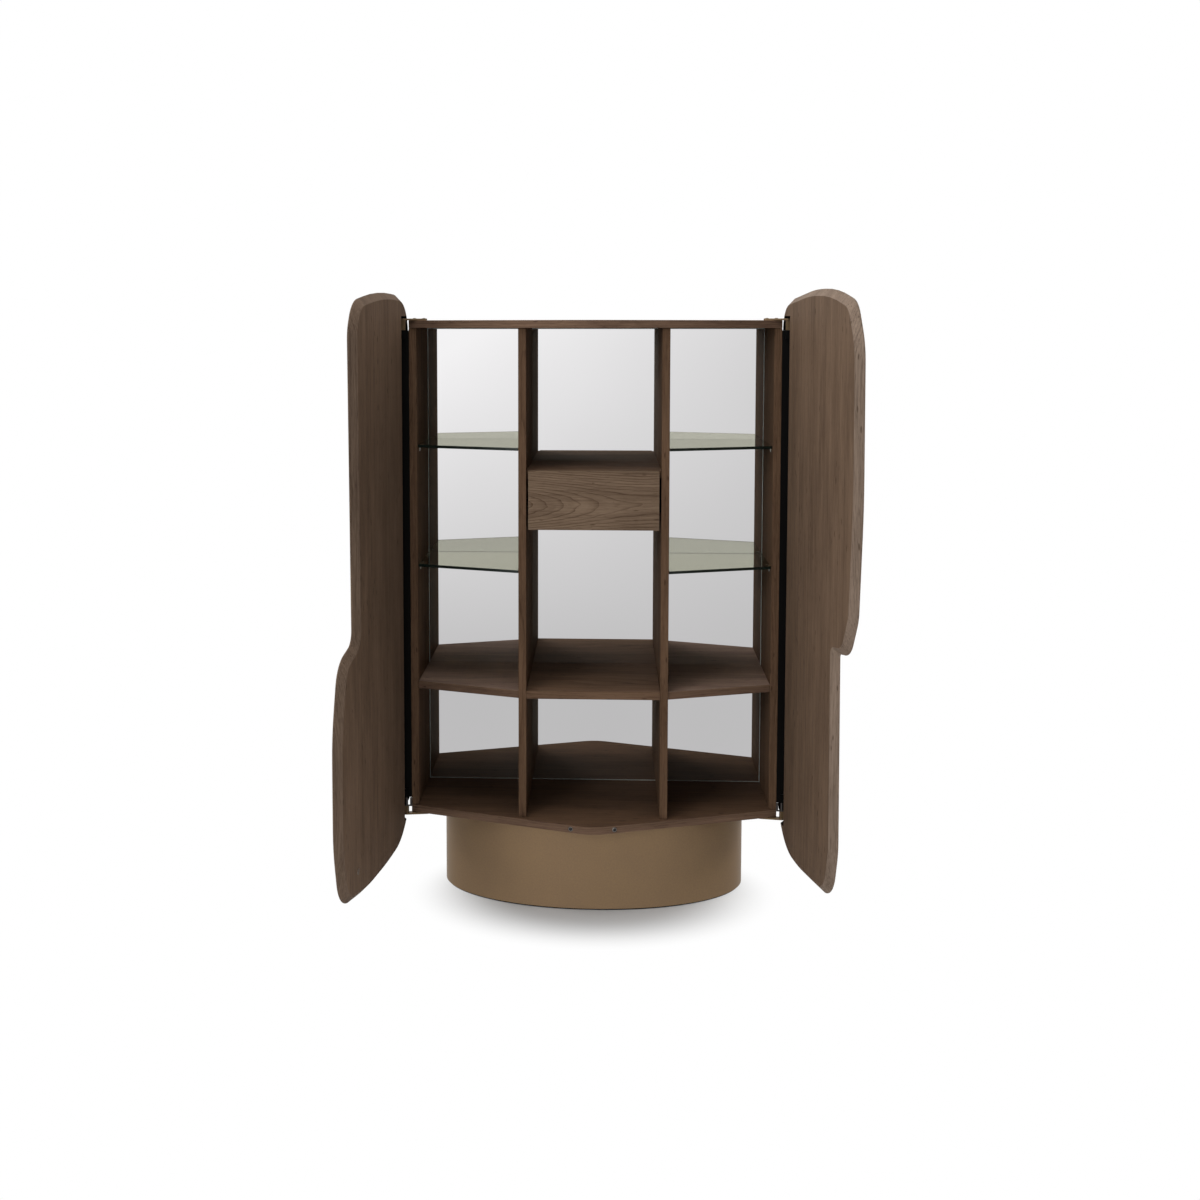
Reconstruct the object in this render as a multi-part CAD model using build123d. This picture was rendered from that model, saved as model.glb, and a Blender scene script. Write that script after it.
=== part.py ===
from build123d import *
import math
import os

# Display cabinet with a V-shaped front, two leaf-shaped doors and an oval drum base.
# Millimetres. The origin is on the floor at the middle of the base, +Z up, and the front faces -Y.
# Carcass pieces are drawn in carcass coordinates: Y = 0 at the front edge of the side panels,
# Z = 0 at the underside of the bottom panel, X = 0 at the middle.

# Carcass
carcass_width = 1060.0
carcass_height = 1433.0
carcass_depth = 277.0
panel_thick = 22.0
v_angle = 19.0
apex_radius = 120.0
back_thick = 16.0
mirror_thick = 4.0
mirror_gap = 0.5
edge_round = 1.5

# Dividers and shelves
divider_spacing = 400.0
divider_front = -100.0
middle_shelf_top = 387.0
middle_shelf_setback = 16.0
shelf_front_limit = -20.0
glass_thick = 8.0
glass_tops = {"upper": 1076.0, "lower": 730.0}
glass_setback = 20.0
glass_side_gap = 1.0
support_width = 7.0
support_height = 13.0
support_reach = 12.0
support_plate = 1.5
support_pin_radius = 2.5
support_pin_depth = 8.0
support_inset = 45.0
hole_gap = 0.1

# Drawer
drawer_front_top = 1012.5
drawer_front_height = 166.0
drawer_front_thick = 20.0
drawer_front_side_gap = 5.5
drawer_front_gap = 4.0
drawer_box_length = 300.0
drawer_box_height = 127.0
drawer_box_drop = 28.5
drawer_board_thick = 12.0
drawer_bottom_thick = 6.0
drawer_bottom_lift = 10.0
drawer_groove_depth = 5.0
groove_gap = 0.2
runner_space = 12.7
runner_height = 35.0
runner_sheet = 1.2
runner_length = 290.0
runner_from_drawer_bottom = 56.0
runner_gap = 0.3

# Push latch behind the drawer
latch_width = 16.0
latch_height = 14.0
latch_length = 26.0
latch_plunger_radius = 3.0
latch_plunger_length = 25.0
latch_plunger_proud = 4.2
back_cover_thick = 6.0
plunger_gap = 0.3
plunger_fit = 0.1
plunger_travel = 3.0
plunger_tip_round = 1.2

# Catches in the front edge of the bottom panel
catch_x = 61.4
catch_flange_radius = 6.6
catch_flange_thick = 1.0
catch_body_radius = 5.5
catch_depth = 40.0
catch_plunger_radius = 4.0
catch_plunger_depth = 25.0
strike_radius = 8.0
strike_thick = 1.5

# Doors. Outline points are (distance from the pivot axis, height, rounding radius), drawn for a
# carcass of outline_height; the heights stretch with the carcass.
outline_height = 1433.0
door_thick = 22.0
bevel = 18.0
door_round = 2.5
closed_gap = 4.2
left_open_past = 7.0
right_open_past = 8.0
left_outline = [
    (-51, -69, 200),
    (226, -84, 1730),
    (414, -78, 670),
    (609, -48, 103),
    (651, 115, 400),
    (650, 401, 480),
    (603, 574, 91),
    (479, 604, 40),
    (485, 1020, 2300),
    (491, 1406, 94),
    (449, 1480, 92),
    (219, 1512, 1500),
    (-51, 1500, 112),
]
right_outline = [
    (-51, -84, 188),
    (202, -88, 890),
    (460, -60, 103),
    (500, 76, 160),
    (490, 589, 12),
    (577, 602, 80),
    (636, 702, 103),
    (660, 980, 1300),
    (652, 1370, 170),
    (591, 1475, 80),
    (430, 1512, 980),
    (230, 1513, 1100),
    (-51, 1486, 90),
]

# Pivot hardware. The axis stands beside and in front of the side panel's front corner.
pivot_out = 14.5
pivot_forward = 5.5
pivot_pin_radius = 3.5
pivot_shoulder_radius = 4.5
bush_wall = 1.45
bush_length = 24.0
pin_end_gap = 2.0
running_fit = 0.05
bearing_half_width = 7.5
bearing_wall = 2.0
arm_thick = 5.0
arm_radius = 9.0
arm_reach = 59.0
arm_turn = 9.0
block_half = 6.5
top_block_height = 28.0
bottom_block_height = 20.0
bracket_sheet = 2.0
bracket_ear_thick = 6.0
bracket_ear_height = 24.0
bracket_depth = 10.0
bracket_back = 4.0
bracket_reach = 16.5
rebate_width = 42.0
rebate_depth = 13.0
pocket_depth = 17.0
pocket_half = 14.0
pocket_length = 54.0
hinge_head_gap = 4.0
stile_sheet = 3.0
stile_behind = 8.0
stile_leg_reach = 15.2
stile_end_gap = 0.7
stile_screw_at = 26.0
stile_screw_count = 5
screw_head_radius = 4.0
screw_head_thick = 2.0
screw_radius = 2.0
stile_screw_bite = 6.0
arm_screw_radius = 2.5
arm_screw_head_radius = 4.5
arm_screw_head_thick = 2.5
arm_screw_bite = 16.0

# Base drum
base_height = 235.0
base_half_width = 441.0
base_half_depth = 248.0
base_centre_back = 118.0
base_wall = 18.0
base_corner_radius = 40.0
plinth_height = 4.0
plinth_setback = 5.0
base_board_thick = 18.0
base_fit = 0.3
rib_thick = 18.0
rib_spacing = 220.0
rib_end_gap = 15.0
bolt_radius = 4.0
bolt_head_radius = 7.0
bolt_head_thick = 5.0
bolt_bite = 17.0
bolt_places = [(300, -80), (300, 100), (90, -170), (90, 125)]

# Worked-out sizes
half_width = carcass_width / 2
side_inner = half_width - panel_thick
top_underside = carcass_height - panel_thick
slope = math.tan(math.radians(v_angle))
cos_v = math.cos(math.radians(v_angle))
sin_v = math.sin(math.radians(v_angle))
back_front = carcass_depth - back_thick
mirror_front = back_front - mirror_thick
divider_inner = divider_spacing / 2 - panel_thick / 2
divider_outer = divider_spacing / 2 + panel_thick / 2
middle_shelf_underside = middle_shelf_top - panel_thick
pivot_x = -(half_width + pivot_out)
pivot_y = -pivot_forward
pivot_inset = pivot_out * sin_v + pivot_forward * cos_v - closed_gap
catch_y = -(half_width - catch_x) * slope
catch_z = panel_thick / 2
base_back = carcass_depth - base_centre_back
carcass_place = Pos(0, -base_centre_back, base_height)


def block(x0, x1, y0, y1, z0, z1):
    """A box between two corners."""
    return Pos((x0 + x1) / 2, (y0 + y1) / 2, (z0 + z1) / 2) * Box(x1 - x0, y1 - y0, z1 - z0)


def rod(radius, z0, z1):
    """A cylinder along Z between two heights."""
    return Pos(0, 0, (z0 + z1) / 2) * Cylinder(radius, z1 - z0)


def door_rod(radius, y0, y1):
    """A cylinder along the door's height, about its pivot axis."""
    return Pos(0, (y0 + y1) / 2, 0) * Rot(90, 0, 0) * Cylinder(radius, y1 - y0)


def on_both_sides(solids):
    """The solids and their mirror images about the middle plane."""
    return solids + [mirror(solid, about=Plane.YZ) for solid in solids]


def to_side(shape, side):
    """A left-hand shape as it is, or its mirror image for the right."""
    return shape if side == "left" else mirror(shape, about=Plane.YZ)


def round_front(board, limit):
    """Soften the long edges of a board that lie in front of a limit."""
    edges = [edge for edge in board.edges() if edge.center().Y < limit and abs(edge.tangent_at(0.5).Z) < 0.5]
    return fillet(edges, edge_round)


def v_front(x, setback):
    """Depth of the V-shaped front line at a width, with a setback square to the line."""
    return -(half_width - abs(x)) * slope + setback / cos_v


# Carcass boards
def wedge_panel(z_low):
    """A full-width board whose front is a V with a rounded point."""
    points = [(-half_width, carcass_depth), (-half_width, 0), (0, v_front(0, 0)), (half_width, 0)]
    plan = make_face(Polyline(*points, (half_width, carcass_depth), close=True))
    plan = fillet(plan.vertices().sort_by(Axis.Y)[0], apex_radius)
    board = extrude(Pos(0, 0, z_low) * plan, panel_thick)
    return round_front(board, -1)


def side_panel():
    """The left side panel."""
    board = block(-half_width, -side_inner, 0, carcass_depth, panel_thick, top_underside)
    front = [edge for edge in board.edges() if edge.center().Y < 1 and abs(edge.tangent_at(0.5).Z) > 0.5]
    return fillet(front, edge_round)


def divider():
    """The left divider."""
    board = block(-divider_outer, -divider_inner, divider_front, mirror_front, panel_thick, top_underside)
    front = [edge for edge in board.edges() if edge.center().Y < divider_front + 1
             and abs(edge.tangent_at(0.5).Z) > 0.5]
    return fillet(front, edge_round)


def bay_plan(setback, side_gap, back):
    """Plan of a board in the left side bay, with its front along the V."""
    left = -side_inner + side_gap
    right = -divider_outer - side_gap
    return make_face(Polyline((left, back), (left, v_front(left, setback)), (right, v_front(right, setback)),
                              (right, back), close=True))


def middle_shelf_side():
    """The left part of the middle shelf."""
    plan = bay_plan(middle_shelf_setback, 0, mirror_front)
    board = extrude(Pos(0, 0, middle_shelf_underside) * plan, panel_thick)
    return round_front(board, shelf_front_limit)


def glass_shelf(top):
    """A glass shelf in the left side bay."""
    plan = bay_plan(glass_setback, glass_side_gap, mirror_front - mirror_gap)
    return extrude(Pos(0, 0, top - glass_thick) * plan, glass_thick)


def support_places():
    """Depths of the shelf supports: (wall position, side it faces, depth) for the left bay."""
    left, right = -side_inner, -divider_outer
    back = mirror_front - support_inset
    front_left = v_front(left, glass_setback) + support_inset
    front_right = v_front(right, glass_setback) + support_inset
    return [(left, 1, front_left), (left, 1, back), (right, -1, front_right), (right, -1, back)]


def shelf_support(wall, facing, depth, top):
    """A steel support: a pin in the wall, a small plate on the wall and a tongue under the glass."""
    low = top - glass_thick
    reach = sorted((wall, wall + facing * support_reach))
    plate = sorted((wall, wall + facing * support_plate))
    pin = sorted((wall - facing * support_pin_depth, wall + facing * support_plate))
    width = (depth - support_width / 2, depth + support_width / 2)
    tongue = block(*reach, *width, low - support_plate, low)
    web = block(*plate, *width, low - support_height, low)
    pin_height = low - support_height / 2
    stem = Pos((pin[0] + pin[1]) / 2, depth, pin_height) * Rot(0, 90, 0)
    return tongue + web + stem * Cylinder(support_pin_radius, pin[1] - pin[0])


def support_hole(wall, facing, depth, top):
    """The hole that a support's pin goes into."""
    pin_height = top - glass_thick - support_height / 2
    place = Pos(wall, depth, pin_height) * Rot(0, 90, 0)
    return place * Cylinder(support_pin_radius + hole_gap, 2 * support_pin_depth + 2)


# Catches in the bottom panel's front edge
def catch_plane():
    """A plane on the left half of the V edge, facing out."""
    return Plane(origin=(-catch_x, catch_y, catch_z), x_dir=(cos_v, -sin_v, 0), z_dir=(-sin_v, -cos_v, 0))


catch_bore_depth = catch_plunger_depth + plunger_travel + 1
catch_proud = closed_gap - plunger_gap


def catch_housing():
    """A push-in housing with a small rim on the edge."""
    shape = rod(catch_flange_radius, 0, catch_flange_thick) + rod(catch_body_radius, -catch_depth, 0)
    shape -= rod(catch_plunger_radius + plunger_fit, -catch_bore_depth, catch_flange_thick)
    return catch_plane() * shape


def catch_plunger():
    """The sprung plunger, with a rounded tip."""
    pin = rod(catch_plunger_radius, -catch_plunger_depth, catch_proud)
    pin = fillet(pin.edges().sort_by(Axis.Z)[-1], plunger_tip_round)
    return catch_plane() * pin


def catch_hole():
    """The hole for the housing."""
    return catch_plane() * rod(catch_body_radius + hole_gap, -catch_depth - 1, edge_round + 1)


# Drawer
drawer_back_face = divider_front + drawer_front_thick
drawer_low = drawer_front_top - drawer_box_drop - drawer_box_height
drawer_high = drawer_front_top - drawer_box_drop
drawer_outer = divider_inner - runner_space
drawer_inner = drawer_outer - drawer_board_thick
drawer_end = drawer_back_face + drawer_box_length
bottom_low = drawer_low + drawer_bottom_lift
bottom_high = bottom_low + drawer_bottom_thick
top_board_low = drawer_front_top - panel_thick
runner_middle = drawer_low + runner_from_drawer_bottom
latch_front = drawer_end + plunger_gap + latch_plunger_proud
latch_middle = top_board_low - latch_height / 2


def drawer_top_board():
    """The fixed board over the drawer, behind the drawer front."""
    front = drawer_back_face + drawer_front_gap
    return block(-divider_inner, divider_inner, front, mirror_front, top_board_low, drawer_front_top)


def drawer_front():
    """The drawer front, without a handle."""
    reach = divider_inner - drawer_front_side_gap
    low = drawer_front_top - drawer_front_height
    board = block(-reach, reach, divider_front, drawer_back_face, low, drawer_front_top)
    return fillet(board.faces().sort_by(Axis.Y)[0].edges(), edge_round)


def drawer_side():
    """The left drawer side, with a groove for the bottom."""
    board = block(-drawer_outer, -drawer_inner, drawer_back_face, drawer_end, drawer_low, drawer_high)
    groove_floor = -drawer_inner - drawer_groove_depth
    return board - block(groove_floor, -drawer_inner + 1, drawer_back_face - 1, drawer_end + 1,
                         bottom_low - groove_gap, bottom_high + groove_gap)


def drawer_back():
    """The drawer back, standing on the bottom."""
    front = drawer_end - drawer_board_thick
    return block(-drawer_inner, drawer_inner, front, drawer_end, bottom_high, drawer_high)


def drawer_bottom():
    """The drawer bottom, held in the grooves of the sides."""
    reach = drawer_inner + drawer_groove_depth - groove_gap
    return block(-reach, reach, drawer_back_face, drawer_end, bottom_low, bottom_high)


def runner_fixed():
    """The left fixed runner: a channel on the divider."""
    half = runner_height / 2
    start = drawer_back_face + drawer_front_gap
    web = block(-divider_inner, -divider_inner + runner_sheet, start, start + runner_length,
                runner_middle - half, runner_middle + half)
    flange_end = -drawer_outer - runner_sheet - runner_gap
    upper = block(-divider_inner, flange_end, start, start + runner_length,
                  runner_middle + half - runner_sheet, runner_middle + half)
    lower = block(-divider_inner, flange_end, start, start + runner_length,
                  runner_middle - half, runner_middle - half + runner_sheet)
    return web + upper + lower


def runner_moving():
    """The left moving runner: a smaller channel on the drawer side, inside the fixed one."""
    half = runner_height / 2 - runner_sheet - runner_gap
    start = drawer_back_face + drawer_front_gap
    web = block(-drawer_outer - runner_sheet, -drawer_outer, start, start + runner_length,
                runner_middle - half, runner_middle + half)
    flange_end = -divider_inner + runner_sheet + runner_gap
    upper = block(flange_end, -drawer_outer, start, start + runner_length,
                  runner_middle + half - runner_sheet, runner_middle + half)
    lower = block(flange_end, -drawer_outer, start, start + runner_length,
                  runner_middle - half, runner_middle - half + runner_sheet)
    return web + upper + lower


def drawer_back_cover():
    """A dark board on the mirror that closes the space behind the drawer."""
    return block(-divider_inner, divider_inner, mirror_front - back_cover_thick, mirror_front,
                 drawer_front_top - drawer_front_height, top_board_low)


def latch_axis():
    """Lays a part drawn along Z on the latch's axis, with +Z towards the drawer."""
    return Pos(0, latch_front, latch_middle) * Rot(90, 0, 0)


def latch_housing():
    """The push latch's body, under the top board."""
    body = block(-latch_width / 2, latch_width / 2, latch_front, latch_front + latch_length,
                 top_board_low - latch_height, top_board_low)
    bore_depth = latch_plunger_length - latch_plunger_proud + plunger_travel + 1
    return body - latch_axis() * rod(latch_plunger_radius + plunger_fit, -bore_depth, 1)


def latch_plunger():
    """The latch's sprung plunger, with a rounded tip."""
    pin = rod(latch_plunger_radius, latch_plunger_proud - latch_plunger_length, latch_plunger_proud)
    pin = fillet(pin.edges().sort_by(Axis.Z)[-1], plunger_tip_round)
    return latch_axis() * pin


# Doors, drawn in a door frame: X from the pivot axis to the free edge, Y up, Z outwards from the axis
def door_place(open_past):
    """Where the left-hand door stands at rest, open past square by an angle."""
    turn = math.radians(open_past)
    along = (-math.sin(turn), -math.cos(turn), 0)
    outward = (-math.cos(turn), math.sin(turn), 0)
    return Plane(origin=(pivot_x, pivot_y, 0), x_dir=along, z_dir=outward)


inner_face = -pivot_inset
rebate_floor = inner_face + rebate_depth
stile_face = rebate_floor - stile_sheet
stile_low = bottom_block_height + bracket_ear_height + bracket_sheet
stile_high = top_underside - panel_thick + 2 * bearing_half_width
top_block_low = carcass_height - top_block_height
bush_radius = pivot_pin_radius + running_fit + bush_wall
bottom_bush = (stile_low, stile_low + bush_length)
top_bush = (top_block_low - stile_end_gap - bush_length, top_block_low - stile_end_gap)


def door_outline(points):
    """A closed outline with each corner rounded to its own radius."""
    stretch = carcass_height / outline_height
    plan = make_face(Polyline(*[(x, y * stretch) for x, y, radius in points], close=True))
    for x, y, radius in points:
        corner = plan.vertices().sort_by_distance((x, y * stretch, 0))[0]
        plan = fillet(corner, radius)
    return plan


def door_board(points, has_strike):
    """A door: a shaped board, bevelled round its inner face and rebated for the pivot stile."""
    plan = door_outline(points)
    board = extrude(Pos(0, 0, inner_face) * plan, door_thick)
    inner_edges = board.faces().sort_by(Axis.Z)[0].edges()
    board = chamfer(inner_edges, bevel)
    outer_edges = board.faces().sort_by(Axis.Z)[-1].edges()
    board = fillet(outer_edges, door_round)
    low = -arm_thick - arm_screw_head_thick - hinge_head_gap
    high = carcass_height + arm_thick + arm_screw_head_thick + hinge_head_gap
    behind = min(x for x, y, radius in points) - 1
    board -= block(behind, rebate_width, low, high, inner_face - 1, rebate_floor)
    pocket_floor = inner_face + pocket_depth
    board -= block(-pocket_half, pocket_half, low, low + pocket_length, inner_face - 1, pocket_floor)
    board -= block(-pocket_half, pocket_half, high - pocket_length, high, inner_face - 1, pocket_floor)
    for height in stile_screw_heights():
        board -= Pos(stile_screw_at, height, 0) * rod(screw_radius + hole_gap, stile_face, screw_tip + 1)
    if has_strike:
        strike_floor = inner_face + strike_thick
        board -= Pos(strike_x, catch_z, 0) * rod(strike_radius + hole_gap, inner_face - 1, strike_floor)
    return board


screw_tip = rebate_floor + stile_screw_bite
strike_x = (-catch_x - pivot_x) * cos_v - (catch_y - pivot_y) * sin_v


def stile_screw_heights():
    """Heights of the stile's screws, evenly spaced between the two bearings' middles."""
    first = (bottom_bush[0] + bottom_bush[1]) / 2
    last = (top_bush[0] + top_bush[1]) / 2
    step = (last - first) / (stile_screw_count - 1)
    return [first + step * i for i in range(stile_screw_count)]


def door_stile():
    """The steel stile: a plate in the rebate, a leg towards the carcass and a bearing block at each end."""
    stile = block(-stile_behind, rebate_width - 1, bottom_bush[0], top_bush[1], stile_face, rebate_floor)
    stile += block(-stile_sheet, 0, bottom_bush[0], top_bush[1], -stile_leg_reach, stile_face)
    for low, high in (bottom_bush, top_bush):
        wall = bush_radius + bearing_wall
        stile += block(-bearing_half_width, bearing_half_width, low, high, -wall, stile_face)
    for low, high in (bottom_bush, top_bush):
        stile -= door_rod(bush_radius + running_fit, low - 1, high + 1)
    screw_hole = rod(screw_radius + hole_gap, stile_face - 1, rebate_floor + 1)
    for height in stile_screw_heights():
        stile -= Pos(stile_screw_at, height, 0) * screw_hole
    return stile


def stile_screws():
    """The screws that hold the stile."""
    screw = rod(screw_head_radius, stile_face - screw_head_thick, stile_face)
    screw += rod(screw_radius, stile_face, screw_tip)
    return [Pos(stile_screw_at, height, 0) * screw for height in stile_screw_heights()]


def pivot_bushes():
    """The two bushes pressed into the stile."""
    return [door_rod(bush_radius, low, high) - door_rod(pivot_pin_radius + running_fit, low - 1, high + 1)
            for low, high in (bottom_bush, top_bush)]


# Pivot arms, drawn at the left in carcass coordinates
arm_end_x = pivot_x + arm_reach * math.cos(math.radians(arm_turn))
arm_end_y = pivot_y + arm_reach * math.sin(math.radians(arm_turn))
arm_screw_shares = (0.55, 1.0)
pivot_at = Pos(pivot_x, pivot_y, 0)


def arm_plate(low):
    """A flat arm with round ends from the pivot axis over the carcass."""
    middle = Pos((pivot_x + arm_end_x) / 2, (pivot_y + arm_end_y) / 2, low)
    plan = middle * Rot(0, 0, arm_turn) * SlotCenterToCenter(arm_reach, 2 * arm_radius)
    return extrude(plan, arm_thick)


def arm_screw_points():
    """Plan positions of an arm's screws."""
    return [(pivot_x + (arm_end_x - pivot_x) * share, pivot_y + (arm_end_y - pivot_y) * share)
            for share in arm_screw_shares]


def top_arm():
    """The arm on the top panel, with the block that holds the upper pin."""
    arm = arm_plate(carcass_height)
    arm += pivot_at * block(-block_half, block_half, -block_half, block_half, top_block_low, carcass_height)
    arm -= pivot_at * rod(pivot_pin_radius + running_fit, top_block_low - 1, carcass_height + arm_thick + 1)
    screw_hole = rod(arm_screw_radius + hole_gap, carcass_height - 1, carcass_height + arm_thick + 1)
    for x, y in arm_screw_points():
        arm -= Pos(x, y, 0) * screw_hole
    return arm


def bottom_arm():
    """The arm under the bottom panel, with the block that holds the lower pin."""
    arm = arm_plate(-arm_thick)
    arm += pivot_at * block(-block_half, block_half, -block_half, block_half, 0, bottom_block_height)
    arm -= pivot_at * rod(pivot_shoulder_radius + running_fit, -arm_thick - 1, bottom_block_height + 1)
    screw_hole = rod(arm_screw_radius + hole_gap, -arm_thick - 1, 1)
    for x, y in arm_screw_points():
        arm -= Pos(x, y, 0) * screw_hole
    return arm


def pivot_pins():
    """The upper pin and the lower pin, whose shoulder carries the door."""
    shoulder = stile_low - plunger_gap
    lower = rod(pivot_shoulder_radius, -arm_thick, shoulder)
    lower += rod(pivot_pin_radius, shoulder, bottom_bush[1] - pin_end_gap)
    upper = rod(pivot_pin_radius, top_bush[0] + pin_end_gap, carcass_height + arm_thick)
    return [pivot_at * lower, pivot_at * upper]


def pivot_bracket():
    """A bright angle on the lower block, with one upright ear towards the carcass."""
    low = bottom_block_height
    depth = (bracket_back - bracket_depth, bracket_back)
    foot = block(-block_half, bracket_reach, *depth, low, low + bracket_sheet)
    ear = block(bracket_reach - bracket_ear_thick, bracket_reach, *depth, low, low + bracket_ear_height)
    bracket = foot + ear - rod(pivot_shoulder_radius + running_fit, low - 1, low + bracket_sheet + 1)
    return pivot_at * bracket


def arm_screws():
    """The screws that hold both arms."""
    above = carcass_height + arm_thick
    upper = rod(arm_screw_head_radius, above, above + arm_screw_head_thick)
    upper += rod(arm_screw_radius, above - arm_screw_bite, above)
    lower = rod(arm_screw_head_radius, -arm_thick - arm_screw_head_thick, -arm_thick)
    lower += rod(arm_screw_radius, -arm_thick, -arm_thick + arm_screw_bite)
    return [Pos(x, y, 0) * screw for x, y in arm_screw_points() for screw in (upper, lower)]


def arm_screw_holes():
    """The screw holes in the top and bottom panels."""
    depth = arm_screw_bite - arm_thick + 1
    upper = rod(arm_screw_radius + hole_gap, carcass_height - depth, carcass_height + 1)
    lower = rod(arm_screw_radius + hole_gap, -1, depth)
    return [Pos(x, y, 0) * hole for x, y in arm_screw_points() for hole in (upper, lower)]


# Base, drawn in the model's own coordinates
def base_block(inset, low, high):
    """A solid oval with a flat back, smaller all round by an inset."""
    solid = extrude(Pos(0, 0, low) * Ellipse(base_half_width - inset, base_half_depth - inset), high - low)
    reach = base_half_width + 1
    solid &= block(-reach, reach, -reach, base_back - inset, low, high)
    corners = [edge for edge in solid.edges() if abs(edge.tangent_at(0.5).Z) > 0.5
               and edge.center().Y > base_back - inset - 1]
    return fillet(corners, base_corner_radius - inset)


def base_drum():
    """The curved wall, standing on the plinth."""
    return base_block(0, plinth_height, base_height) - base_block(base_wall, 0, base_height + 1)


def base_bottom_board():
    """The bottom board, whose lower edge is the set-back plinth."""
    board = base_block(plinth_setback, 0, plinth_height)
    return board + base_block(base_wall + base_fit, plinth_height, plinth_height + base_board_thick)


def base_top_board():
    """The board inside the top of the drum, which carries the carcass."""
    board = base_block(base_wall + base_fit, base_height - base_board_thick, base_height)
    bolt_hole = rod(bolt_radius + hole_gap, base_height - base_board_thick - 1, base_height + 1)
    for x, y in bolt_points():
        board -= Pos(x, y, 0) * bolt_hole
    return board


def base_ribs():
    """Upright ribs between the two boards."""
    ribs = []
    for x in (-rib_spacing, 0, rib_spacing):
        front = -base_half_depth * math.sqrt(1 - (x / base_half_width) ** 2) + base_wall + rib_end_gap
        back = base_back - base_wall - rib_end_gap
        ribs.append(block(x - rib_thick / 2, x + rib_thick / 2, front, back, plinth_height + base_board_thick,
                          base_height - base_board_thick))
    return ribs


def bolt_points():
    """Plan positions of the bolts that join base and carcass."""
    return [(side * x, y) for side in (-1, 1) for x, y in bolt_places]


def base_bolts():
    """The bolts, with their heads inside the base."""
    low = base_height - base_board_thick
    bolt = rod(bolt_head_radius, low - bolt_head_thick, low) + rod(bolt_radius, low, base_height + bolt_bite)
    return [Pos(x, y, 0) * bolt for x, y in bolt_points()]


# Assembly
nodes = {}


def add(name, shapes, place=carcass_place):
    """Keep a node's solids at their place in the model."""
    shapes = shapes if isinstance(shapes, list) else [shapes]
    nodes[name] = [solid for shape in shapes for solid in (place * shape).solids()]


def cut_all(shape, tools):
    """A shape with each tool cut away."""
    for tool in tools:
        shape = shape - tool
    return shape


bottom_panel = cut_all(wedge_panel(0), on_both_sides([catch_hole()] + arm_screw_holes()[1::2]))
bolt_hole = rod(bolt_radius + hole_gap, -1, bolt_bite + 1)
bottom_panel = cut_all(bottom_panel, [Pos(x, y + base_centre_back, 0) * bolt_hole for x, y in bolt_points()])
add("bottom_panel", bottom_panel)
add("top_panel", cut_all(wedge_panel(top_underside), on_both_sides(arm_screw_holes()[0::2])))
add("back_panel", block(-side_inner, side_inner, back_front, carcass_depth, panel_thick, top_underside))
add("back_mirror", block(-side_inner + mirror_gap, side_inner - mirror_gap, mirror_front, back_front,
                         panel_thick + mirror_gap, top_underside - mirror_gap))
add("middle_shelf_centre", round_front(block(-divider_inner, divider_inner, divider_front, mirror_front,
                                             middle_shelf_underside, middle_shelf_top), divider_front + 1))

wall_supports = [place for place in support_places() if place[1] > 0]
divider_supports = [place for place in support_places() if place[1] < 0]
side_holes = [support_hole(*place, top) for place in wall_supports for top in glass_tops.values()]
divider_holes = [support_hole(*place, top) for place in divider_supports for top in glass_tops.values()]
left_supports = [shelf_support(*place, top) for place in support_places() for top in glass_tops.values()]

for side, outline, open_past in (("left", left_outline, left_open_past),
                                 ("right", right_outline, right_open_past)):
    add(side + "_side_panel", to_side(cut_all(side_panel(), side_holes), side))
    add(side + "_divider", to_side(cut_all(divider(), divider_holes), side))
    add("middle_shelf_" + side, to_side(middle_shelf_side(), side))
    for level, top in glass_tops.items():
        add("glass_shelf_" + level + "_" + side, to_side(glass_shelf(top), side))
    add("shelf_supports_" + side, [to_side(support, side) for support in left_supports])
    add(side + "_catch_housing", to_side(catch_housing(), side))
    add(side + "_catch_plunger", to_side(catch_plunger(), side))
    add(side + "_top_arm", to_side(top_arm(), side))
    add(side + "_bottom_arm", to_side(bottom_arm(), side))
    add(side + "_pivot_pins", [to_side(pin, side) for pin in pivot_pins()])
    add(side + "_pivot_bracket", to_side(pivot_bracket(), side))
    add(side + "_arm_screws", [to_side(screw, side) for screw in arm_screws()])
    place = door_place(open_past)
    add(side + "_door", to_side(place * door_board(outline, side == "left"), side))
    add(side + "_door_stile", to_side(place * door_stile(), side))
    add(side + "_stile_screws", [to_side(place * screw, side) for screw in stile_screws()])
    add(side + "_pivot_bushes", [to_side(place * bush, side) for bush in pivot_bushes()])
strike = Pos(strike_x, catch_z, 0) * rod(strike_radius, inner_face, inner_face + strike_thick)
add("left_door_strike", door_place(left_open_past) * strike)

add("drawer_top_board", drawer_top_board())
add("drawer_front", drawer_front())
add("drawer_left_side", drawer_side())
add("drawer_right_side", mirror(drawer_side(), about=Plane.YZ))
add("drawer_back", drawer_back())
add("drawer_bottom", drawer_bottom())
add("drawer_runners_fixed", on_both_sides([runner_fixed()]))
add("drawer_runners_moving", on_both_sides([runner_moving()]))
add("drawer_back_cover", drawer_back_cover())
add("drawer_latch_housing", latch_housing())
add("drawer_latch_plunger", latch_plunger())

add("base_drum", base_drum(), Pos(0, 0, 0))
add("base_bottom_board", base_bottom_board(), Pos(0, 0, 0))
add("base_top_board", base_top_board(), Pos(0, 0, 0))
add("base_ribs", base_ribs(), Pos(0, 0, 0))
add("base_bolts", base_bolts(), Pos(0, 0, 0))

os.makedirs("parts", exist_ok=True)
for name, solids in nodes.items():
    shape = solids[0] if len(solids) == 1 else Compound(children=solids)
    export_step(shape, "parts/" + name + ".step")
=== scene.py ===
import math

import bmesh
import bpy
from mathutils import Matrix, Vector


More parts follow.
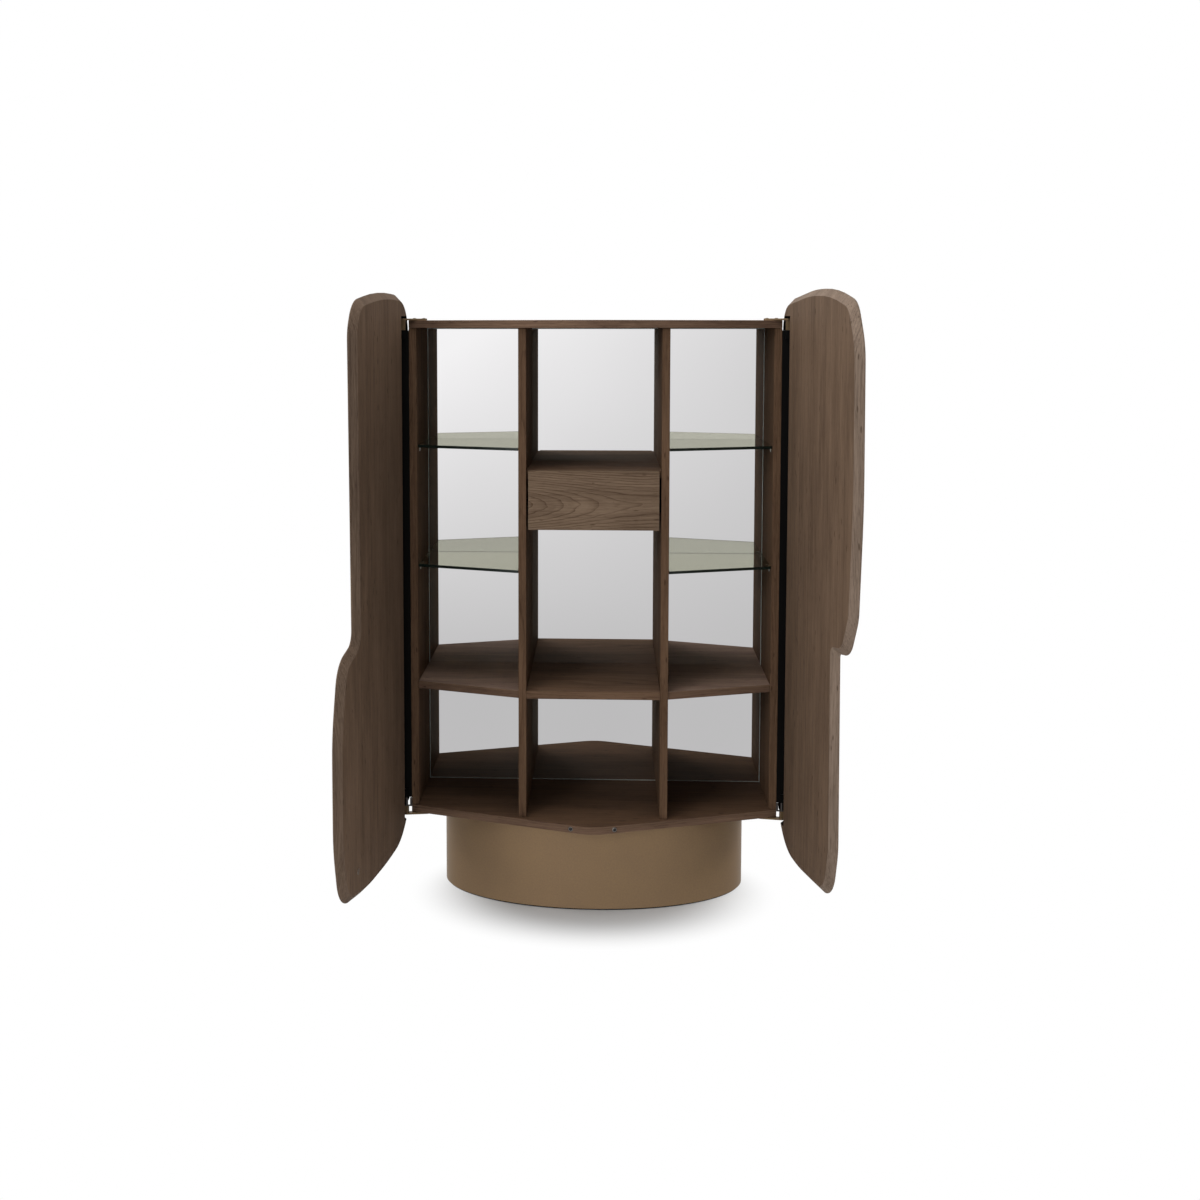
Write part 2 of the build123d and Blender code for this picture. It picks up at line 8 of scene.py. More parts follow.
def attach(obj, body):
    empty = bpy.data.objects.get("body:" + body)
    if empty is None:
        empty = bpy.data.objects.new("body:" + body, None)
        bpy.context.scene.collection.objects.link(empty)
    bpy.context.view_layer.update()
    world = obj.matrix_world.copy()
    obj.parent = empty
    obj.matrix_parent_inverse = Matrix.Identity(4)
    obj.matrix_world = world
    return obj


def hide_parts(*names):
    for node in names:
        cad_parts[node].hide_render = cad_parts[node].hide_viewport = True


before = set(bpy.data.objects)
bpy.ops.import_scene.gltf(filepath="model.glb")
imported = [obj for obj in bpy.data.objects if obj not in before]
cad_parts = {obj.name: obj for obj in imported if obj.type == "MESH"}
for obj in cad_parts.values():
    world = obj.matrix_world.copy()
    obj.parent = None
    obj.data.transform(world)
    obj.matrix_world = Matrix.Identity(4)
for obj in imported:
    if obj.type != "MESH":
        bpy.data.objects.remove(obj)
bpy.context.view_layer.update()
scene = bpy.context.scene

# Sizes in millimetres, the same as the part's own.
# Carcass coordinates: Y = 0 at the side panels' front edge, Z = 0 at the underside of the bottom panel.
BASE_HEIGHT = 235
BASE_BACK = 118
HALF_WIDTH = 530
DEPTH = 277
HEIGHT = 1433
PANEL = 22
SIDE_INNER = HALF_WIDTH - PANEL
TOP_UNDERSIDE = HEIGHT - PANEL
V_SLOPE = math.tan(math.radians(19))
V_COS = math.cos(math.radians(19))
V_SIN = math.sin(math.radians(19))
APEX_RADIUS = 120
MIRROR_FRONT = 257
BACK_FRONT = 261
DIVIDER_FRONT = -100
DIVIDER_INNER = 189
DIVIDER_OUTER = 211
SHELF_TOP = 387
GLASS_TOPS = {"upper": 1076, "lower": 730}
GLASS_THICK = 8
DRAWER_TOP = 1012.5
DRAWER_HEIGHT = 166
DRAWER_REACH = 183.5
PIVOT_X = -544.5
PIVOT_Y = -5.5
PIVOT_INSET = 14.5 * V_SIN + 5.5 * V_COS - 4.2
DOOR_TURN = {"left": 7, "right": 8}
EDGE_ROUND = 1.5

# Door outlines: distance from the pivot axis, height, rounding radius.
OUTLINES = {
    "left": [(-51, -69, 200), (226, -84, 1730), (414, -78, 670), (609, -48, 103), (651, 115, 400), (650, 401, 480),
             (603, 574, 91), (479, 604, 40), (485, 1020, 2300), (491, 1406, 94), (449, 1480, 92), (219, 1512, 1500),
             (-51, 1500, 112)],
    "right": [(-51, -84, 188), (202, -88, 890), (460, -60, 103), (500, 76, 160), (490, 589, 12), (577, 602, 80),
              (636, 702, 103), (660, 980, 1300), (652, 1370, 170), (591, 1475, 80), (430, 1512, 980),
              (230, 1513, 1100), (-51, 1486, 90)],
}

CARCASS = Matrix.Translation((0, -BASE_BACK / 1000, BASE_HEIGHT / 1000)) @ Matrix.Scale(0.001, 4)
MODEL = Matrix.Scale(0.001, 4)
MIRRORED = Matrix.Scale(-1, 4, (1, 0, 0))


def side_place(side, place=CARCASS):
    """A place for the left, or the same place mirrored for the right."""
    return place if side == "left" else MIRRORED @ place


def door_place(side):
    """The door's own frame: X from the pivot axis to the free edge, Y up, Z outwards."""
    turn = math.radians(DOOR_TURN[side])
    along = Vector((-math.sin(turn), -math.cos(turn), 0))
    outward = Vector((-math.cos(turn), math.sin(turn), 0))
    axes = Matrix((along, (0, 0, 1), outward)).transposed().to_4x4()
    return side_place(side, CARCASS @ Matrix.Translation((PIVOT_X, PIVOT_Y, 0)) @ axes)


# Materials
def linear(code):
    """A linear colour from an sRGB hex colour."""
    channels = [int(code[i:i + 2], 16) / 255 for i in (1, 3, 5)]
    return (*[c / 12.92 if c <= 0.04045 else ((c + 0.055) / 1.055) ** 2.4 for c in channels], 1)


def add(tree, kind, settings=None, sockets=None):
    """Add a node, with its settings and its sockets: a socket takes a value, a node or a node's output."""
    node = tree.nodes.new("ShaderNode" + kind)
    for name, value in (settings or {}).items():
        setattr(node, name, value)
    for name, value in (sockets or {}).items():
        if isinstance(value, bpy.types.Node):
            value = value.outputs[0]
        if isinstance(value, bpy.types.NodeSocket):
            tree.links.new(value, node.inputs[name])
        else:
            node.inputs[name].default_value = value
    return node


def new_material(name):
    """An empty material and its node tree."""
    material = bpy.data.materials.new(name)
    material.use_nodes = True
    material.node_tree.nodes.clear()
    return material, material.node_tree


def surface(tree, sockets):
    """Ends a material with a Principled surface."""
    shader = add(tree, "BsdfPrincipled", None, sockets)
    add(tree, "OutputMaterial", None, {"Surface": shader})
    return shader


def board_turn(across, through, along):
    """The turn that lays a pattern's axes on a board: across the grain, through the board, along the grain."""
    return Matrix((across, through, along)).to_euler()


UPRIGHT_SIDE = board_turn((0, 1, 0), (-1, 0, 0), (0, 0, 1))
UPRIGHT_FRONT = board_turn((1, 0, 0), (0, 1, 0), (0, 0, 1))
LYING = board_turn((0, 1, 0), (0, 0, 1), (1, 0, 0))
LYING_FRONT = board_turn((0, 0, 1), (0, -1, 0), (1, 0, 0))


def door_turn(side):
    """The grain's turn on a door as it stands at rest."""
    turn = math.radians(DOOR_TURN[side])
    lean = math.sin(turn) * (1 if side == "right" else -1)
    return board_turn((lean, -math.cos(turn), 0), (math.cos(turn), lean, 0), (0, 0, 1))


def oak_veneer(name, turn, shift, pith, taper=0.0, tones=("#3E2E22", "#6E5947"), ring=7.0, late=0.25, leaf=140.0,
               wander_by=26.0, line=3.5, level_from=4000.0, scale=(1000, 1000, 1000), shine=0.04):
    """Sliced oak veneer, stained grey-brown under a matt lacquer: growth rings, pores along the grain, dark flecks
    and veneer leaves that differ a little in tone. pith is where the tree's middle was, in millimetres across and
    under the board: near it the rings make arches, far from it they make straight stripes."""
    material, tree = new_material(name)
    place = add(tree, "TexCoord").outputs["Object"]
    board = add(tree, "Mapping", None, {"Vector": place, "Rotation": turn, "Scale": scale,
                                        "Location": shift})
    # The trunk wasn't straight: rings wander by some millimetres over a hand's breadth
    wander_at = add(tree, "VectorMath", {"operation": "DIVIDE"}, {0: board, 1: (70, 70, 420)})
    wander = add(tree, "TexNoise", None, {"Vector": wander_at, "Scale": 1.0, "Detail": 2.0})
    waver_at = add(tree, "VectorMath", {"operation": "DIVIDE"}, {0: board, 1: (14, 14, 60)})
    waver = add(tree, "TexNoise", None, {"Vector": waver_at, "Scale": 1.0, "Detail": 1.0})
    sway = add(tree, "VectorMath", {"operation": "MULTIPLY_ADD"}, {0: wander.outputs["Color"], 1: (wander_by, wander_by, 0), 2: board})
    sway = add(tree, "VectorMath", {"operation": "MULTIPLY_ADD"}, {0: waver.outputs["Color"], 1: (3, 3, 0), 2: sway})
    parts = add(tree, "SeparateXYZ", None, {0: sway})
    # Past level_from the cut runs level with the rings, and their arches end there
    so_far = add(tree, "Math", {"operation": "SMOOTH_MIN"}, {0: parts.outputs[2], 1: level_from, 2: 150.0})
    under = add(tree, "Math", {"operation": "MULTIPLY_ADD"}, {0: so_far, 1: taper, 2: parts.outputs[1]})
    section = add(tree, "CombineXYZ", None, {0: parts.outputs[0], 1: under})
    radius = add(tree, "VectorMath", {"operation": "DISTANCE"}, {0: section, 1: (pith[0], pith[1], 0)})
    year = add(tree, "Math", {"operation": "DIVIDE"}, {0: radius.outputs["Value"], 1: ring})
    good_years = add(tree, "TexNoise", {"noise_dimensions": "1D"}, {"W": year, "Scale": 0.6, "Detail": 3.0,
                                                                    "Roughness": 0.7})
    in_year = add(tree, "Math", {"operation": "FRACT"}, {0: year})
    late_wood = add(tree, "Math", {"operation": "POWER"}, {0: in_year, 1: line})
    late_some = add(tree, "MapRange", None, {"Value": wander, "From Min": 0.35, "From Max": 0.65, "To Min": 0.3,
                                             "To Max": 1.0})
    late_wood = add(tree, "Math", {"operation": "MULTIPLY"}, {0: late_wood, 1: late_some})
    # Pores are 0.2 mm wide in the real wood: drawn 2 mm wide, so that they show from across a room
    streak_at = add(tree, "VectorMath", {"operation": "DIVIDE"}, {0: sway, 1: (3.4, 3.4, 120)})
    streak = add(tree, "TexNoise", None, {"Vector": streak_at, "Scale": 1.0, "Detail": 3.0, "Roughness": 0.65})
    pore_at = add(tree, "VectorMath", {"operation": "DIVIDE"}, {0: board, 1: (2.0, 2.0, 26)})
    pore = add(tree, "TexNoise", None, {"Vector": pore_at, "Scale": 1.0, "Detail": 1.0})
    pore_mask = add(tree, "MapRange", None, {"Value": pore, "From Min": 0.56, "From Max": 0.70})
    # Dark flecks, a few to a hand's breadth, in loose clusters
    fleck_at = add(tree, "VectorMath", {"operation": "DIVIDE"}, {0: sway, 1: (13, 13, 55)})
    fleck = add(tree, "TexVoronoi", None, {"Vector": fleck_at, "Scale": 1.0})
    fleck_is = add(tree, "SeparateXYZ", None, {0: fleck.outputs["Color"]})
    cluster_at = add(tree, "VectorMath", {"operation": "DIVIDE"}, {0: board, 1: (110, 110, 190)})
    cluster = add(tree, "TexNoise", None, {"Vector": cluster_at, "Scale": 1.0, "Detail": 1.0})
    rare = add(tree, "MapRange", None, {"Value": cluster, "From Min": 0.45, "From Max": 0.62, "To Min": 0.97,
                                        "To Max": 0.45})
    fleck_on = add(tree, "Math", {"operation": "GREATER_THAN"}, {0: fleck_is.outputs[0], 1: rare})
    fleck_spot = add(tree, "MapRange", None, {"Value": fleck.outputs["Distance"], "From Min": 0.06, "From Max": 0.2,
                                              "To Min": 1.0, "To Max": 0.0})
    fleck_mask = add(tree, "Math", {"operation": "MULTIPLY"}, {0: fleck_on, 1: fleck_spot})
    # Leaves of veneer laid side by side
    leaf_at = add(tree, "SeparateXYZ", None, {0: board})
    leaf_share = add(tree, "Math", {"operation": "DIVIDE"}, {0: leaf_at.outputs[0], 1: leaf})
    leaf_number = add(tree, "Math", {"operation": "FLOOR"}, {0: leaf_share})
    leaf_tone = add(tree, "TexWhiteNoise", {"noise_dimensions": "1D"}, {"W": leaf_number})
    # A slow change of tone along the board, and the sum of it all
    cloud_at = add(tree, "VectorMath", {"operation": "DIVIDE"}, {0: board, 1: (45, 45, 260)})
    cloud = add(tree, "TexNoise", None, {"Vector": cloud_at, "Scale": 1.0, "Detail": 2.0})
    tone = add(tree, "Math", {"operation": "MULTIPLY_ADD"}, {0: good_years, 1: 0.5, 2: 0.02})
    for mask, weight in ((streak, 1.0), (cloud, 0.62), (leaf_tone, 0.1), (late_wood, -late), (pore_mask, -0.2),
                         (fleck_mask, -0.75)):
        tone = add(tree, "Math", {"operation": "MULTIPLY_ADD"}, {0: mask, 1: weight, 2: tone})
    tone = add(tree, "Math", {"operation": "SUBTRACT"}, {0: tone, 1: 0.6})
    tone = add(tree, "Math", {"operation": "MULTIPLY", "use_clamp": True}, {0: tone, 1: 1.0})
    colour = add(tree, "Mix", {"data_type": "RGBA"}, {0: tone, 6: linear(tones[0]), 7: linear(tones[1])})
    gloss = add(tree, "MapRange", None, {"Value": streak, "From Min": 0.3, "From Max": 0.7, "To Min": 0.58,
                                         "To Max": 0.72})
    relief = add(tree, "Math", {"operation": "MULTIPLY_ADD"}, {0: pore_mask, 1: -0.7, 2: streak})
    bump = add(tree, "Bump", None, {"Height": relief, "Strength": 0.25, "Distance": 0.0003})
    surface(tree, {"Base Color": colour.outputs[2], "Roughness": gloss, "Normal": bump, "Specular IOR Level": shine})
    return material


def fine_grained(name, tones, grain, rough, metallic=0.0, relief=0.1, extra=None):
    """A finish with a fine all-over grain, whose size is given in millimetres on each axis."""
    material, tree = new_material(name)
    place = add(tree, "TexCoord").outputs["Object"]
    fine_at = add(tree, "VectorMath", {"operation": "DIVIDE"}, {0: place, 1: tuple(size / 1000 for size in grain)})
    fine = add(tree, "TexNoise", None, {"Vector": fine_at, "Scale": 1.0, "Detail": 2.0})
    cloud = add(tree, "TexNoise", None, {"Vector": place, "Scale": 9.0, "Detail": 1.0})
    both = add(tree, "Mix", None, {0: 0.35, 2: fine, 3: cloud})
    spread = add(tree, "MapRange", None, {"Value": both, "From Min": 0.35, "From Max": 0.65})
    colour = add(tree, "Mix", {"data_type": "RGBA"}, {0: spread, 6: linear(tones[0]), 7: linear(tones[1])})
    gloss = add(tree, "MapRange", None, {"Value": fine, "From Min": 0.3, "From Max": 0.7, "To Min": rough[0],
                                         "To Max": rough[1]})
    bump = add(tree, "Bump", None, {"Height": fine, "Strength": relief, "Distance": 0.0002})
    surface(tree, {"Base Color": colour.outputs[2], "Roughness": gloss, "Normal": bump, "Metallic": metallic,
                   **(extra or {})})
    return material


# Carcass boards: upright and lying grain, each board with its own place in the veneer
FAR_PITH = (-900, 40)
side_oak = oak_veneer("stained_oak_veneer_sides", UPRIGHT_SIDE, (310, 0, 140), FAR_PITH,
                      tones=("#402F23", "#6F5744"), shine=0.012)
back_oak = oak_veneer("stained_oak_veneer_back", UPRIGHT_FRONT, (45, 0, 70), FAR_PITH)
lying_oak = oak_veneer("stained_oak_veneer_lying", LYING, (60, 0, 500), (-160, 60), taper=0.03, late=0.35,
                       tones=("#443225", "#785F4C"))
# The side bays' shelves take lighter tones, and the bottom panel darker ones, than the other lying boards: painted
# light on the side shelves, and painted shade on the bottom panel, which lies under the shelves and doors
lit_lying_oak = oak_veneer("stained_oak_veneer_side_shelves", LYING, (410, 0, 120), (-160, 60), taper=0.03, late=0.35,
                             tones=("#5B493F", "#957D6E"))
# Darker tones: painted shade on the bottom panel
shaded_lying_oak = oak_veneer("stained_oak_veneer_bottom", LYING, (700, 0, 800), (-160, 60), taper=0.03, late=0.35,
                            tones=("#3C2B20", "#6A523F"))
# Front edges are lipped: the band bends round the V, so its grain takes no notice of how deep it lies
edge_oak = oak_veneer("stained_oak_edge_band", LYING_FRONT, (310, 0, 40), FAR_PITH, tones=("#44332A", "#7A6250"),
                      scale=(1000, 20, 1000))
door_oak, lipping_oak = {}, {}
for side, shift in (("left", (20, 0, 300)), ("right", (520, 0, 900))):
    # On the right door the tones are a little lighter: painted light
    door_oak[side] = oak_veneer("stained_oak_veneer_" + side + "_door", door_turn(side), shift, FAR_PITH,
                                tones=("#3F3126", "#6F5B4B") if side == "left" else ("#403228", "#715D4C"))
    # The bevel is cut in the solid oak edging. On the right door the edging, and a little the veneer too, take lighter
    # tones than on the left: painted light, where the lamps from the left fall on that door
    lipping_oak[side] = oak_veneer("stained_solid_oak_" + side + "_door", door_turn(side), shift, FAR_PITH,
                                   tones=("#40332A", "#6C5B4D") if side == "left" else ("#4C3F35", "#877668"))
drawer_oak = oak_veneer("stained_oak_crown_cut", LYING_FRONT, (0, 0, 0), (1157, 159.2), taper=0.12, late=0.85,
                        tones=("#4A3A2E", "#826E5B"), ring=5.5, leaf=4000.0, wander_by=8.0, line=7.0,
                        level_from=57.0)
# Sealed birch ply, stained: even and quiet
box_birch = fine_grained("stained_birch_plywood", ("#4A3E34", "#5B4D42"), (60, 3, 3), (0.45, 0.6))
# Dark stained board: nearly even, matt, and deepened to near black past its stain: painted shade, so that the plinth
# under the drum reads as a dark line
dark_stain_and_shade_board = fine_grained("stained_base_board_and_painted_shade", ("#100D0B", "#171310"), (3, 3, 3), (0.6, 0.75),
                          extra={"Specular IOR Level": 0.2})
# Bronze metallic lacquer, sprayed: satin, with a fine flake and a hint of orange peel (4 mm waves)
bronze_lacquer = fine_grained("bronze_metallic_lacquer", ("#8A7156", "#927859"), (4, 4, 4), (0.36, 0.42),
                              metallic=0.65, relief=0.04)
# The same lacquer on steel hardware, a little darker
bronze_steel = fine_grained("bronze_lacquered_steel", ("#66523A", "#776145"), (0.8, 0.8, 0.8), (0.35, 0.5),
                            metallic=0.6)
# Burnished screw heads: dark bronze
burnished_steel = fine_grained("burnished_screw_steel", ("#2A231D", "#3D342B"), (0.5, 0.5, 0.5), (0.35, 0.5), metallic=0.8)
# Matt black powder coat: a fine orange peel, 0.6 mm
black_steel = fine_grained("black_powder_coat", ("#040303", "#080706"), (0.6, 0.6, 0.6), (0.6, 0.75), relief=0.3,
                           extra={"Specular IOR Level": 0.1})
# Black stain in the doors' rebates: matt, so that the hinge side reads as one dark line
black_stain = fine_grained("black_stained_rebate", ("#070504", "#0D0A08"), (1.5, 1.5, 20), (0.7, 0.85),
                           extra={"Specular IOR Level": 0.05})
# Zinc plate, bright passivated: brushed along, lightly clouded
bright_steel = fine_grained("bright_zinc_plate", ("#B4B3B0", "#D2D1CE"), (0.4, 0.4, 6), (0.22, 0.34), metallic=1.0)
# Zinc plate gone dull, on the pivots
dull_zinc = fine_grained("dull_zinc_plate", ("#4E4A48", "#625D5A"), (0.4, 0.4, 6), (0.45, 0.55), metallic=1.0)
# Satin nickel plate
nickel = fine_grained("satin_nickel_plate", ("#7B7773", "#97928D"), (0.4, 0.4, 3), (0.3, 0.42), metallic=1.0)
# Zinc-plated screws and runners
zinc = fine_grained("zinc_plated_steel", ("#8C8D8E", "#B0B1B2"), (6, 0.5, 0.5), (0.3, 0.45), metallic=1.0)
# Moulded nylon and acetal: even, faintly textured
grey_nylon = fine_grained("moulded_grey_nylon", ("#575450", "#605D59"), (0.7, 0.7, 0.7), (0.45, 0.55))
black_acetal = fine_grained("moulded_black_acetal", ("#111111", "#1A1A1A"), (0.7, 0.7, 0.7), (0.3, 0.4))


def silvered_mirror():
    """Silvered float glass: a clear, nearly white reflection, with the faintest waviness of drawn glass."""
    material, tree = new_material("silvered_float_glass")
    place = add(tree, "TexCoord").outputs["Object"]
    wave = add(tree, "TexNoise", None, {"Vector": place, "Scale": 4.0, "Detail": 0.0})
    tint = add(tree, "Mix", {"data_type": "RGBA"}, {0: wave, 6: linear("#F1F0F1"), 7: linear("#F4F3F4")})
    surface(tree, {"Base Color": tint.outputs[2], "Metallic": 1.0, "Roughness": 0.004})
    return material


def ground_edge():
    """The mirror's ground edge: frosted, pale grey-green."""
    material, tree = new_material("ground_mirror_edge")
    place = add(tree, "TexCoord").outputs["Object"]
    grind = add(tree, "TexNoise", None, {"Vector": place, "Scale": 1200.0, "Detail": 1.0})
    tint = add(tree, "Mix", {"data_type": "RGBA"}, {0: grind, 6: linear("#B9BFBA"), 7: linear("#D5D9D5")})
    surface(tree, {"Base Color": tint.outputs[2], "Roughness": 0.4, "IOR": 1.52})
    return material


def clear_glass():
    """Clear float glass, polished: a green-grey cast in its thickness."""
    material, tree = new_material("clear_float_glass")
    place = add(tree, "TexCoord").outputs["Object"]
    wave = add(tree, "TexNoise", None, {"Vector": place, "Scale": 6.0, "Detail": 0.0})
    tint = add(tree, "Mix", {"data_type": "RGBA"}, {0: wave, 6: linear("#C9CAB8"), 7: linear("#CACBB9")})
    surface(tree, {"Base Color": tint.outputs[2], "Roughness": 0.0, "IOR": 1.52, "Transmission Weight": 1.0})
    return material


def glass_edge():
    """The ground and polished edge of the glass, where its green gathers to near black."""
    material, tree = new_material("float_glass_edge")
    place = add(tree, "TexCoord").outputs["Object"]
    grind = add(tree, "TexNoise", None, {"Vector": place, "Scale": 900.0, "Detail": 1.0})
    tint = add(tree, "Mix", {"data_type": "RGBA"}, {0: grind, 6: linear("#0E1613"), 7: linear("#16231D")})
    surface(tree, {"Base Color": tint.outputs[2], "Roughness": 0.25, "IOR": 1.52})
    return material


mirror_silver = silvered_mirror()
mirror_edge = ground_edge()
float_glass = clear_glass()
float_glass_edge = glass_edge()


# Solids: each is (points, faces, material number of each face), in millimetres
def loft(rings, closed=False):
    """Skin over rings of equal count, capped at both ends, or joined into a loop."""
    count = len(rings[0])
    points = [point for ring in rings for point in ring]
    faces = []
    for i in range(len(rings) if closed else len(rings) - 1):
        a, b = i * count, (i + 1) % len(rings) * count
        for j in range(count):
            k = (j + 1) % count
            faces.append((a + j, a + k, b + k, b + j))
    if not closed:
        faces.append(tuple(range(count))[::-1])
        faces.append(tuple(range((len(rings) - 1) * count, len(rings) * count)))
    return points, faces, [0] * len(faces)


def prism(outline, low, high):
    """A plan outline raised between two heights."""
    return loft([[(x, y, z) for x, y in outline] for z in (low, high)])


def box(x, y, z):
    """A block between two corners."""
    return prism([(x[0], y[0]), (x[1], y[0]), (x[1], y[1]), (x[0], y[1])], z[0], z[1])


def circle(radius, z, count=48, sides=0):
    """A ring about the Z axis, or a polygon of that many sides drawn with as many points."""
    ring = []
    for i in range(count):
        angle = 2 * math.pi * i / count
        reach = radius
        if sides:
            half = math.pi / sides
            reach = radius * math.cos(half) / math.cos((angle + half) % (2 * half) - half)
        ring.append((reach * math.cos(angle), reach * math.sin(angle), z))
    return ring


def turned(profile, count=48, closed=False):
    """A turned part from (radius, height) pairs, or (radius, height, sides)."""
    return loft([circle(step[0], step[1], count, *step[2:]) for step in profile], closed)


def moved(solid, place):
    """A solid at another place."""
    points, faces, slots = solid
    return [tuple(place @ Vector(point)) for point in points], faces, slots


def at(x, y, z, turn=0, axis="Z"):
    """A place from a point and a turn in degrees."""
    return Matrix.Translation((x, y, z)) @ Matrix.Rotation(math.radians(turn), 4, axis)


def rounded(corners, step=5):
    """A closed outline from (x, y, radius) corners, each rounded by an arc."""
    outline = []
    count = len(corners)
    for i, (x, y, radius) in enumerate(corners):
        here = Vector((x, y))
        before = (Vector(corners[i - 1][:2]) - here).normalized()
        after = (Vector(corners[(i + 1) % count][:2]) - here).normalized()
        inner = before.angle(after)
        turn = math.pi - inner
        if radius < 0.01 or turn < 0.001:
            outline.append((x, y))
            continue
        centre = here + (before + after).normalized() * radius / math.sin(inner / 2)
        start = here + before * radius / math.tan(inner / 2) - centre
        sense = 1 if before.x * after.y - before.y * after.x < 0 else -1
        steps = max(4, round(math.degrees(turn) / step))
        for j in range(steps + 1):
            spoke = Matrix.Rotation(sense * turn * j / steps, 2) @ start
            outline.append(tuple(centre + spoke))
    return outline


def inset(outline, distance):
    """An outline moved inwards, square to itself. The outline runs anticlockwise."""
    count = len(outline)
    result = []
    for i, (x, y) in enumerate(outline):
        before = Vector(outline[i - 1])
        after = Vector(outline[(i + 1) % count])
        here = Vector((x, y))
        a = (here - before).normalized()
        b = (after - here).normalized()
        normal = Vector((-a.y - b.y, a.x + b.x)).normalized()
        reach = distance / max(0.3, normal.dot(Vector((-b.y, b.x))))
        result.append(tuple(here + normal * reach))
    return result


def piece(name, body, solids, materials, place=CARCASS, stands_for=(), rounding=0.0, segments=2, smooth=40):
    """Make a piece from solids, put it in place and let it ride on its body."""
    points, faces, slots = [], [], []
    for solid in solids:
        base = len(points)
        points += [place @ Vector(point) for point in solid[0]]
        faces += [tuple(base + i for i in face) for face in solid[1]]
        slots += solid[2]
    mesh = bpy.data.meshes.new(name)
    mesh.from_pydata(points, [], faces)
    for face, number in zip(mesh.polygons, slots):
        face.material_index = number
    work = bmesh.new()
    work.from_mesh(mesh)
    bmesh.ops.recalc_face_normals(work, faces=work.faces)
    work.to_mesh(mesh)
    work.free()
    for material in materials:
        mesh.materials.append(material)
    mesh.shade_smooth()
    mesh.set_sharp_from_angle(angle=math.radians(smooth))
    obj = bpy.data.objects.new(name, mesh)
    scene.collection.objects.link(obj)
    if rounding:
        edge = obj.modifiers.new("rounding", "BEVEL")
        edge.width = rounding / 1000
        edge.segments = segments
        edge.limit_method = "ANGLE"
        edge.angle_limit = math.radians(35)
        edge.harden_normals = True
    else:
        weighted = obj.modifiers.new("flat_faces", "WEIGHTED_NORMAL")
        weighted.keep_sharp = True
    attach(obj, body)
    if stands_for:
        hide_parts(*stands_for)
    return obj


def v_front(x, setback=0.0):
    """Depth of the V-shaped front line at a width."""
    return -(HALF_WIDTH - abs(x)) * V_SLOPE + setback / V_COS


# Carcass: wedge panels, sides, dividers, back and shelves
WEDGE = rounded([(-HALF_WIDTH, 0, 0), (0, v_front(0), APEX_RADIUS), (HALF_WIDTH, 0, 0), (HALF_WIDTH, DEPTH, 0),
                 (-HALF_WIDTH, DEPTH, 0)], step=2.5)


def edge_banded(solid):
    """A solid whose upright faces take the edge band, material 1."""
    points, faces, slots = solid
    upright = [len(set(round(points[i][2], 3) for i in face)) > 1 for face in faces]
    return points, faces, [1 if edge else 0 for edge in upright]


piece("bottom_panel_board", "carcass", [edge_banded(prism(WEDGE, 0, PANEL))],
      [shaded_lying_oak, edge_oak], stands_for=["bottom_panel"], rounding=EDGE_ROUND)
piece("top_panel_board", "carcass", [edge_banded(prism(WEDGE, TOP_UNDERSIDE, HEIGHT))],
      [lying_oak, edge_oak], stands_for=["top_panel"], rounding=EDGE_ROUND)
piece("back_panel_board", "carcass",
      [box((-SIDE_INNER, SIDE_INNER), (BACK_FRONT, DEPTH), (PANEL, TOP_UNDERSIDE))], [back_oak],
      stands_for=["back_panel"], rounding=0.4)
# The mirror's front edge is ground to a nearly flat strip, 2 mm wide and 0.3 mm deep
mirror_rings = []
for depth, margin in ((BACK_FRONT, 0.5), (MIRROR_FRONT + 0.3, 0.5), (MIRROR_FRONT, 2.5)):
    reach, low, high = SIDE_INNER - margin, PANEL + margin, TOP_UNDERSIDE - margin
    mirror_rings.append([(-reach, depth, low), (reach, depth, low), (reach, depth, high), (-reach, depth, high)])
points, faces, slots = loft(mirror_rings)
piece("back_mirror_sheet", "carcass", [(points, faces, [1] * 9 + [0])], [mirror_silver, mirror_edge],
      stands_for=["back_mirror"], smooth=2)
piece("middle_shelf_centre_board", "carcass",
      [box((-DIVIDER_INNER, DIVIDER_INNER), (DIVIDER_FRONT, MIRROR_FRONT), (SHELF_TOP - PANEL, SHELF_TOP))],
      [lying_oak], stands_for=["middle_shelf_centre"], rounding=EDGE_ROUND)
for side in ("left", "right"):
    place = side_place(side)
    piece(side + "_side_board", "carcass",
          [box((-HALF_WIDTH, -SIDE_INNER), (0, DEPTH), (PANEL, TOP_UNDERSIDE))], [side_oak], place,
          [side + "_side_panel"], EDGE_ROUND)
    piece(side + "_divider_board", "carcass",
          [box((-DIVIDER_OUTER, -DIVIDER_INNER), (DIVIDER_FRONT, MIRROR_FRONT), (PANEL, TOP_UNDERSIDE))],
          [side_oak], place, [side + "_divider"], EDGE_ROUND)
    bay = [(-SIDE_INNER, v_front(-SIDE_INNER, 16)), (-DIVIDER_OUTER, v_front(-DIVIDER_OUTER, 16)),
           (-DIVIDER_OUTER, MIRROR_FRONT), (-SIDE_INNER, MIRROR_FRONT)]
    piece("middle_shelf_" + side + "_board", "carcass",
          [edge_banded(prism(bay, SHELF_TOP - PANEL, SHELF_TOP))], [lit_lying_oak, edge_oak], place,
          ["middle_shelf_" + side], EDGE_ROUND)

